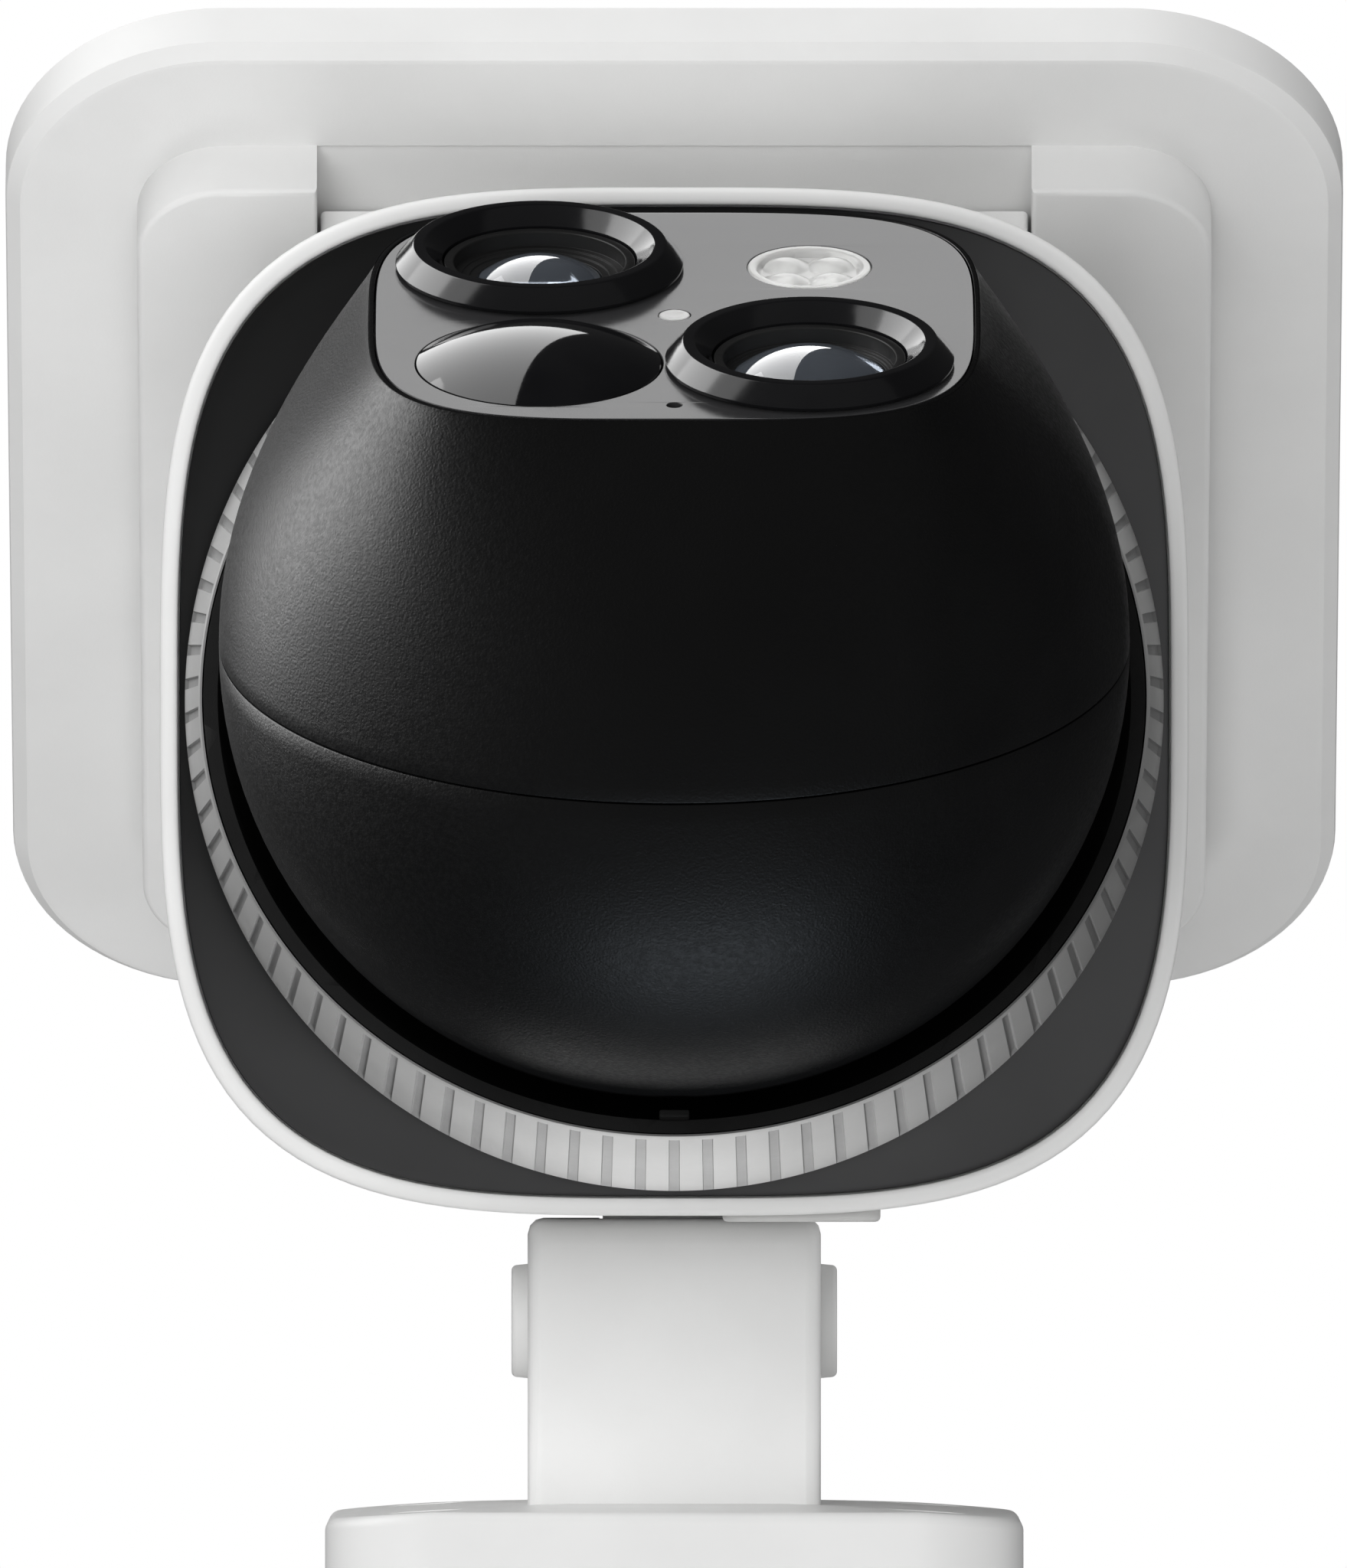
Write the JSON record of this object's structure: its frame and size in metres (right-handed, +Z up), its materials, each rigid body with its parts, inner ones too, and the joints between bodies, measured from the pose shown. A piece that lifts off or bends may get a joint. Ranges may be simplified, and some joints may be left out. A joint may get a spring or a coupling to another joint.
{
  "type": "security camera",
  "caption": "Outdoor pan-and-tilt security camera with two lenses, a hinged solar panel on top and a tilting wall arm.",
  "frame": {"origin": "middle of the wall plate's back face, on the wall", "axes": "+Z up, +Y into the wall, lenses towards -Y, +X to the right seen from the front"},
  "size_m": [0.1226, 0.1425, 0.2182],
  "materials": {
    "white_plastic": "fine satin moulding",
    "black_grain_plastic": "fine leather-like grain, matte",
    "black_cup_plastic": "fine sand texture, matte",
    "black_gloss_plate": "polished",
    "lens_plate_gloss": "polished, mirror-like",
    "lens_ring_gloss": "polished",
    "lens_barrel_black": "matte",
    "lens_glass": "coated lens",
    "pir_dome_black": "polished, infrared-clear",
    "light_lens_clear": "moulded clear plastic",
    "steel": "plain",
    "rubber_seal": "matte",
    "flap_rubber": "soft white rubber",
    "inner_plastic": "plain",
    "bearing_plastic": "slippery bearing plastic",
    "gear_plastic": "plain",
    "battery_wrap": "shrink wrap",
    "circuit_board": "solder mask",
    "led_board_white": "white solder mask",
    "yoke_metal": "cast",
    "solar_cell": "monocrystalline cells",
    "panel_glass": "clear cover sheet"
  },
  "bodies": {
    "wall_mount": {"wall_bracket": "white_plastic", "pivot_pin": "steel", "pivot_cap_left": "white_plastic", "pivot_cap_right": "white_plastic"},
    "housing": {"body_shell": "white_plastic", "top_cover": "white_plastic", "face_plate": "black_gloss_plate", "face_seal": "rubber_seal", "arm_knuckle": "white_plastic", "knuckle_screws": "steel", "pan_chassis": "inner_plastic", "pan_bush": "bearing_plastic", "pan_motor": "steel", "battery_cells": "battery_wrap", "battery_tray": "inner_plastic", "main_board": "circuit_board", "speaker": "inner_plastic", "usb_socket": "steel", "housing_screws": "steel", "panel_bracket": "white_plastic", "bracket_screws": "steel", "button_switch": "inner_plastic"},
    "port_cover": {"port_flap": "flap_rubber"},
    "sync_key": {"sync_button": "white_plastic"},
    "pan_drive": {"pan_pinion": "gear_plastic"},
    "turret": {"pan_collar": "white_plastic", "pan_bowl": "black_cup_plastic", "pan_gear": "gear_plastic", "pan_retainer": "steel", "tilt_yoke": "yoke_metal", "tilt_gear": "gear_plastic", "tilt_axle": "steel"},
    "head": {"head_front_shell": "black_grain_plastic", "head_rear_shell": "black_grain_plastic", "head_frame": "inner_plastic", "head_screws": "steel", "tilt_motor": "steel", "lens_plate": "lens_plate_gloss", "wide_lens_ring": "lens_ring_gloss", "tele_lens_ring": "lens_ring_gloss", "wide_lens_barrel": "lens_barrel_black", "tele_lens_barrel": "lens_barrel_black", "wide_lens_glass": "lens_glass", "tele_lens_glass": "lens_glass", "camera_board": "circuit_board", "pir_lens": "pir_dome_black", "pir_sensor": "steel", "spotlight_lens": "light_lens_clear", "spotlight_board": "led_board_white", "light_sensor_window": "light_lens_clear", "microphone": "steel"},
    "tilt_drive": {"tilt_pinion": "gear_plastic"},
    "panel": {"panel_frame": "white_plastic", "solar_cells": "solar_cell", "panel_glass": "panel_glass", "panel_back_block": "white_plastic", "charge_board": "circuit_board", "hinge_pin": "steel"}
  },
  "joints": [
    {"name": "arm_tilt", "type": "hinge", "parent": "wall_mount", "child": "housing", "pos_m": [0, -0.0227, 0], "axis": [1, 0, 0], "range_deg": [-20, 0]},
    {"name": "pan", "type": "hinge", "parent": "housing", "child": "turret", "pos_m": [0, -0.079, 0], "axis": [0, 0, 1], "range_deg": [-175, 175]},
    {"name": "tilt", "type": "hinge", "parent": "turret", "child": "head", "pos_m": [0, -0.08418, -0.06379], "axis": [1, 0, 0], "range_deg": [-10, 45]},
    {"name": "panel_tilt", "type": "hinge", "parent": "housing", "child": "panel", "pos_m": [0, -0.119, 0.038], "axis": [1, 0, 0], "range_deg": [-45, 0]},
    {"name": "port_flap_lift", "type": "hinge", "parent": "housing", "child": "port_cover", "pos_m": [0.0115, -0.03225, -0.0195], "axis": [1, 0, 0], "range_deg": [0, 85]},
    {"name": "sync_press", "type": "slide", "parent": "housing", "child": "sync_key", "axis": [0, -1, 0], "range_m": [0, 0.0012], "stiffness_N_per_m": 600},
    {"name": "pan_pinion_spin", "type": "hinge", "parent": "housing", "child": "pan_drive", "pos_m": [0.01838, -0.06062, -0.018], "axis": [0, 0, 1], "range_deg": [-600, 600]},
    {"name": "tilt_pinion_spin", "type": "hinge", "parent": "head", "child": "tilt_drive", "pos_m": [0.0106, -0.07197, -0.0786], "axis": [1, 0, 0], "range_deg": [-40, 150]}
  ],
  "couplings": [
    {"joint": "pan_pinion_spin", "follows": "pan", "ratio": -3.3333},
    {"joint": "tilt_pinion_spin", "follows": "tilt", "ratio": 3}
  ]
}
